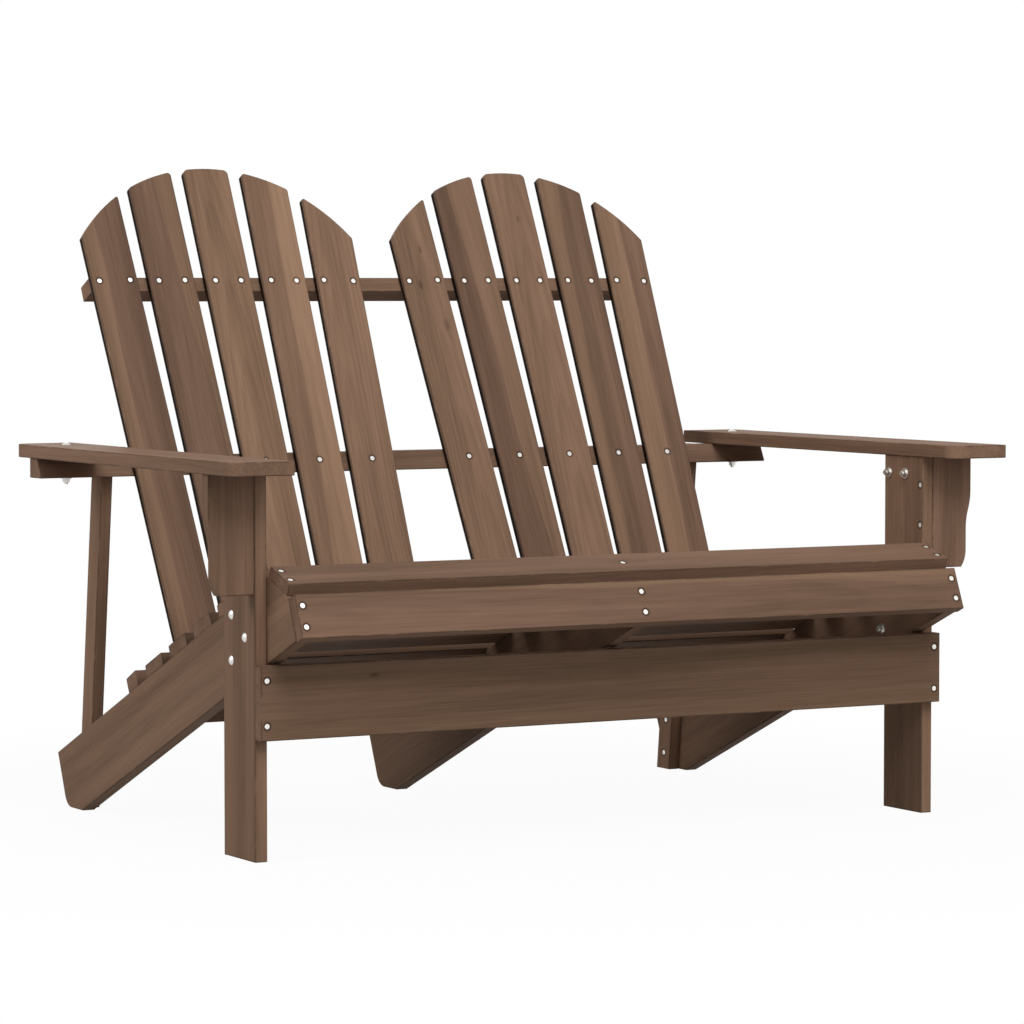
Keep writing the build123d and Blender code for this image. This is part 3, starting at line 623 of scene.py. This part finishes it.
def stained_surface(tree, red, level, late, fibre):
    """Sets the shader's colour, roughness, shine and bump."""
    shader = tree.nodes["Principled BSDF"]
    share = maths(tree, "MINIMUM", maths(tree, "MAXIMUM", red, 0.0), 1.0)
    tinted = node(tree, "ShaderNodeVectorMath", operation="SCALE")
    tree.links.new(blend(tree, share, sap_brown, heart_brown), tinted.inputs[0])
    tree.links.new(level, tinted.inputs["Scale"])
    tree.links.new(tinted.outputs[0], shader.inputs["Base Color"])
    rough = ramp(tree, fibre, noise_low, noise_high, smoothest, roughest)
    tree.links.new(rough, shader.inputs["Roughness"])
    shader.inputs["Specular IOR Level"].default_value = stain_shine
    bump = node(tree, "ShaderNodeBump", Strength=relief_strength, Distance=fibre_relief)
    tree.links.new(maths(tree, "MULTIPLY_ADD", late, late_relief, fibre), bump.inputs["Height"])
    tree.links.new(bump.outputs[0], shader.inputs["Normal"])


print("heartwood", heart_brown[:3], "sapwood", sap_brown[:3])

# %% [markdown]
# ### The recipe
# Now the steps come together. Each board reads the noises at a far-off place of its own, as if it were sawn
# from another log. Then come the knots, the wandering lines, the rings, the plank with its figure, the worn
# edges, the painted light and shade on edges, sides and screw holes, and the surface. One material with
# random colours for each object would be shorter, but it could not give each board the look that the
# tables describe.

# %% Timber of one board
log_step = (1.37, 0.71, 0.43)


def new_material(name):
    """An empty material and its node tree."""
    made = bpy.data.materials.new(name)
    made.use_nodes = True
    return made, made.node_tree


def board_timber(name, directions, seed):
    """The finish of one board."""
    look = look_of(name, seed)
    made, tree = new_material("timber of " + name)
    place, (along, wide, deep), half = board_places(tree, name, directions)
    shifted = node(tree, "ShaderNodeVectorMath", operation="ADD")
    tree.links.new(place, shifted.inputs[0])
    shifted.inputs[1].default_value = [seed * step for step in log_step]
    own = shifted.outputs[0]

    hill, core = knot_hills(tree, along, wide, look["knots"], half.y)
    bent = wandering(tree, own, wide, hill)
    late = late_wood(tree, along, bent, deep, half.y, seed)
    shade, red, fibre = plank(tree, own, look["red"])
    shade, red = figured(tree, shade, red, look, late, along, bent, half.y, hill, core)
    level = maths(tree, "MULTIPLY", maths(tree, "ADD", shade, 1.0), look["tone"])

    to_end, to_edge, to_face = (edge_gap(tree, part, size) for part, size in zip((along, wide, deep), half))
    # Worn arrises, then painted light and shade, each as a share of the colour.
    wear_and_painted_light = [arris_stain(tree, own, to_end, to_edge, to_face)]
    heads = heads_on(name, directions)
    # Painted shade: a dark ring round each screw head.
    if heads:
        wear_and_painted_light.append(painted_hole_shade(tree, place, heads))
    # Painted shade on the sides of the back slats.
    if look["sides"] != 1.0:
        wear_and_painted_light.append(painted_side_shade(tree, to_edge, deep, half.z, look["sides"]))
    # Painted light: the narrow edges lighter or darker than the faces.
    if look["edge"] != 1.0:
        wear_and_painted_light.append(ramp(tree, to_edge, painted_edge_core, painted_edge_reach, look["edge"], 1.0))
    for layer in wear_and_painted_light:
        level = maths(tree, "MULTIPLY", level, layer)
    stained_surface(tree, red, level, late, fibre)
    return made


print("made the recipe, which reads each board at its own place in the noise")

# %% [markdown]
# ### Dressing the boards
# Each board gets its own material in its only slot. The boards are taken in the order of their names, so
# that a board keeps its number, and with it its grain, every time the script runs. Random numbers could do
# this too, if they were started from a fixed seed. The dowels of the cross braces are guessed pieces, and
# get a plain timber.

# %% Dress the boards
dowel_seed = 97


def dress(name, material):
    """Gives a node one material, in its only slot."""
    mesh = nodes[name].data
    mesh.materials.clear()
    mesh.materials.append(material)


for seed, (name, directions) in enumerate(sorted(boards.items()), start=1):
    dress(name, board_timber(name, directions, seed))
dress("brace_dowels", board_timber("brace_dowels", (across, behind, up), dowel_seed))
print("dressed", len(boards), "boards and the dowels")

# %% [markdown]
# ## Zinc-plated steel
# The screws and bolts are bright zinc-plated steel. Plating is slightly cloudy, so its roughness and colour
# vary a little with fine noise, and the Principled shader's metal does the rest. In the photograph the
# screw heads have a dark rim, and here it is painted shade of the countersunk hole. Faces of the rim could
# get a material of their own. Here the rim is a pattern of the distance to the screw's axis, as the painted
# ring in the wood is, so that one material slot is enough.

# %% Plated steel
head_radius = 0.0039
rim_width = 0.0009
# Colour of the painted shade on the rims of the heads.
rim_shade_brown = (0.12, 0.09, 0.07, 1)
cloud_stretch = (700.0, 700.0, 700.0)
plating_smooth, plating_rough = 0.25, 0.4
plating_strength, plating_relief = 0.1, 0.0001


def painted_rim_shade(tree, name, coordinates):
    """1 on the rims of a group's screw heads, where shade is painted, otherwise 0."""
    along = screws[name].orthogonal().normalized()
    sideways = screws[name].cross(along)
    turn = Matrix((along, sideways, along.cross(sideways)))
    turned = node(tree, "ShaderNodeMapping")
    turned.inputs["Rotation"].default_value = turn.to_euler("XYZ")
    tree.links.new(coordinates.outputs["Object"], turned.inputs["Vector"])
    heads = [middle_in(turn, part)[0] for part in screw_parts[name]]
    return ramp(tree, nearest_head(tree, turned.outputs[0], heads), head_radius - rim_width, head_radius)


def plated_steel(name, pale, dull, metallic):
    """Zinc plating with a faint cloudiness, and with painted shade on the rims of screws."""
    made, tree = new_material("zinc-plated steel of " + name)
    shader = tree.nodes["Principled BSDF"]
    coordinates = node(tree, "ShaderNodeTexCoord")
    cloud = noise(tree, coordinates.outputs["Object"], cloud_stretch, 3)
    colour = blend(tree, cloud, pale, dull)
    # Painted shade on the rims of the screw heads.
    if name in screws:
        colour = blend(tree, painted_rim_shade(tree, name, coordinates), colour, rim_shade_brown)
    tree.links.new(colour, shader.inputs["Base Color"])
    rough = ramp(tree, cloud, noise_low, noise_high, plating_smooth, plating_rough)
    tree.links.new(rough, shader.inputs["Roughness"])
    shader.inputs["Metallic"].default_value = metallic
    bump = node(tree, "ShaderNodeBump", Strength=plating_strength, Distance=plating_relief)
    tree.links.new(cloud, bump.inputs["Height"])
    tree.links.new(bump.outputs[0], shader.inputs["Normal"])
    return made


print("a head is", round(2000 * head_radius, 1), "mm wide")

# %% [markdown]
# ### Dressing the fasteners
# In the photograph the screw heads are nearly white. A fully metallic head mirrors the dark boards in front
# of it, so the screws are only partly metal, three groups less so than the others. On the share that isn't
# metal, the near-white colour is painted reflection, standing for the bright surroundings that plating
# mirrors. This isn't how zinc behaves, but it gives the look of the photograph. The bolts, washers and nuts
# are fully metal and greyer, and so are the screws under the arms, which can't be seen.

# %% Dress the fasteners
# Near-white screws: on their share that isn't metal this is painted reflection.
screw_pale, screw_dull = (1.0, 0.97, 0.93, 1), (0.93, 0.89, 0.85, 1)
bolt_pale, bolt_dull = (0.80, 0.78, 0.75, 1), (0.55, 0.53, 0.50, 1)
paler_screws = ("front_slat_screws", "bracket_screws", "back_slat_middle_screws")
little_metal, much_metal, all_metal = 0.3, 0.75, 1.0

fasteners = [name for name in nodes if name not in boards and name != "brace_dowels"]
for name in fasteners:
    if name in screws:
        metallic = little_metal if name in paler_screws else much_metal
        dress(name, plated_steel(name, screw_pale, screw_dull, metallic))
    else:
        dress(name, plated_steel(name, bolt_pale, bolt_dull, all_metal))
print("dressed", len(fasteners), "groups of fasteners")

# %% [markdown]
# ## White for the camera
# The photograph is a cut-out on pure white. A real white floor and wall would throw much light up under the
# seat. Light Path tells which rays come straight from the camera, or from a mirror or glass, so a shader
# can be white for those and stay dim for the light that falls on the chair. The background could also be
# replaced in a finished picture, but then the shadow would have to be cut out. These two helpers serve the
# floor and the world.

# %% Helpers for white surroundings
def seen_directly(tree):
    """1 for rays from the camera and for mirrored and refracted rays, otherwise 0."""
    path = node(tree, "ShaderNodeLightPath")
    seen = maths(tree, "MAXIMUM", path.outputs["Is Camera Ray"], path.outputs["Is Glossy Ray"])
    return maths(tree, "MAXIMUM", seen, path.outputs["Is Transmission Ray"])


def mixed_shaders(tree, factor, one, other):
    """A Mix Shader of two shaders' outputs."""
    made = node(tree, "ShaderNodeMixShader")
    tree.links.new(factor, made.inputs[0])
    tree.links.new(one.outputs[0], made.inputs[1])
    tree.links.new(other.outputs[0], made.inputs[2])
    return made


print("made two helpers for white surroundings: seen_directly and mixed_shaders")

# %% [markdown]
# ## Floor
# The floor is a wide plane just below the feet. To the lamps it is light grey, and to the camera it is
# white. Near the chair the white keeps a small part that the lamps light, so the chair's soft shadow shows
# on it, and that part fades out 1.6 metres from the middle. A shadow catcher would do too, but it needs a
# transparent film and a second step that lays the picture on white.

# %% Pale floor
floor_half_size = 25.0
floor_drop = 0.0005
floor_grey, floor_rough = (0.42, 0.42, 0.42, 1), 0.9
shadow_near, shadow_far, glow_share = 0.7, 1.6, 0.95


def floor_finish():
    """Light grey for the lamps, and white with the chair's shadow for the camera."""
    made, tree = new_material("pale floor")
    matt = tree.nodes["Principled BSDF"]
    matt.inputs["Base Color"].default_value = floor_grey
    matt.inputs["Roughness"].default_value = floor_rough
    lit = node(tree, "ShaderNodeBsdfDiffuse", Color=(1, 1, 1, 1))
    glow = node(tree, "ShaderNodeEmission", Strength=1.0)
    reach = node(tree, "ShaderNodeVectorMath", operation="LENGTH")
    tree.links.new(node(tree, "ShaderNodeTexCoord").outputs["Object"], reach.inputs[0])
    glowing = ramp(tree, reach.outputs["Value"], shadow_near, shadow_far, glow_share, 1.0)
    white = mixed_shaders(tree, glowing, lit, glow)
    finished = mixed_shaders(tree, seen_directly(tree), matt, white)
    tree.links.new(finished.outputs[0], tree.nodes["Material Output"].inputs["Surface"])
    return made


def pale_floor():
    """A wide pale plane under the chair."""
    shape = bmesh.new()
    bmesh.ops.create_grid(shape, x_segments=1, y_segments=1, size=floor_half_size)
    bmesh.ops.translate(shape, verts=shape.verts, vec=(0, 0, -floor_drop))
    mesh = bpy.data.meshes.new("floor")
    shape.to_mesh(mesh)
    shape.free()
    mesh.materials.append(floor_finish())
    made = bpy.data.objects.new("floor", mesh)
    bpy.context.scene.collection.objects.link(made)
    return made


floor = pale_floor()
print("the floor lies at", floor.data.vertices[0].co.z)

# %% [markdown]
# ## Light of the room
# A white studio sends a little light from every side, which keeps the undersides and gaps of the chair from
# being black. A world with one dim colour gives this light, and the camera sees it as pure white. A picture
# of a real studio would give richer reflections, but matt stain has almost none.

# %% World
room_light = 0.11
world = bpy.data.worlds.new("white studio")
bpy.context.scene.world = world
world.use_nodes = True
sky = world.node_tree
dim = sky.nodes["Background"]
dim.inputs["Color"].default_value = (1, 1, 1, 1)
dim.inputs["Strength"].default_value = room_light
white = node(sky, "ShaderNodeBackground", Strength=1.0, Color=(1, 1, 1, 1))
surroundings = mixed_shaders(sky, seen_directly(sky), dim, white)
sky.links.new(surroundings.outputs[0], sky.nodes["World Output"].inputs["Surface"])
print("world strength", dim.inputs["Strength"].default_value)

# %% [markdown]
# ## Lamps
# In the photograph the faces that look up or forward are about equally light, the left faces are a little
# darker, the undersides are dark, and the arms throw a soft shadow on the brackets below them. So the main
# lamp hangs high in front, a weaker one stands lower and farther off, one on the left lights the chair's
# side, and a weak one behind keeps the back from being black. All are wide squares, as soft boxes are. A
# sun would be simpler, but one sun can't light the front, the top and the left side by different amounts.

# %% Lamps
seat_middle = (0, 0, 0.45)
back_middle = (0, 0, 0.5)


def soft_lamp(name, place, aim, width, power):
    """A wide square lamp that looks at aim."""
    light = bpy.data.lights.new(name, "AREA")
    light.shape = "SQUARE"
    light.size = width
    light.energy = power
    made = bpy.data.objects.new(name, light)
    made.location = place
    made.rotation_euler = (Vector(aim) - Vector(place)).to_track_quat("-Z", "Y").to_euler()
    bpy.context.scene.collection.objects.link(made)
    print(name, "gives", power, "watts")


soft_lamp("high lamp", (-0.6, -3.2, 4.2), seat_middle, 3.0, 125)
soft_lamp("front lamp", (0.3, -5.0, 2.4), seat_middle, 3.0, 46)
soft_lamp("left lamp", (-4.7, 0.5, 2.8), seat_middle, 2.6, 95)
soft_lamp("back lamp", (1.5, 4.5, 2.5), back_middle, 3.0, 35)

# %% [markdown]
# ## Camera
# The photograph was taken with a long lens from the chair's front left, a little above the arms. The camera
# could be placed by eye, but straight edges are better witnesses: its place and lens were worked out from
# the edges of the legs, the apron and the arms. The Standard view transform shows each colour as it is
# written.

# %% Camera
lens = bpy.data.cameras.new("camera")
lens.sensor_width = 36.0
lens.lens = 146.123
lens.clip_end = 100.0
camera = bpy.data.objects.new("camera", lens)
camera.location = (-2.9526, -5.3452, 0.7755)
camera.rotation_euler = (radians(86.8603), 0, radians(-29.1916))
bpy.context.scene.collection.objects.link(camera)
bpy.context.scene.camera = camera
bpy.context.scene.view_settings.view_transform = "Standard"
print("camera at", tuple(camera.location))
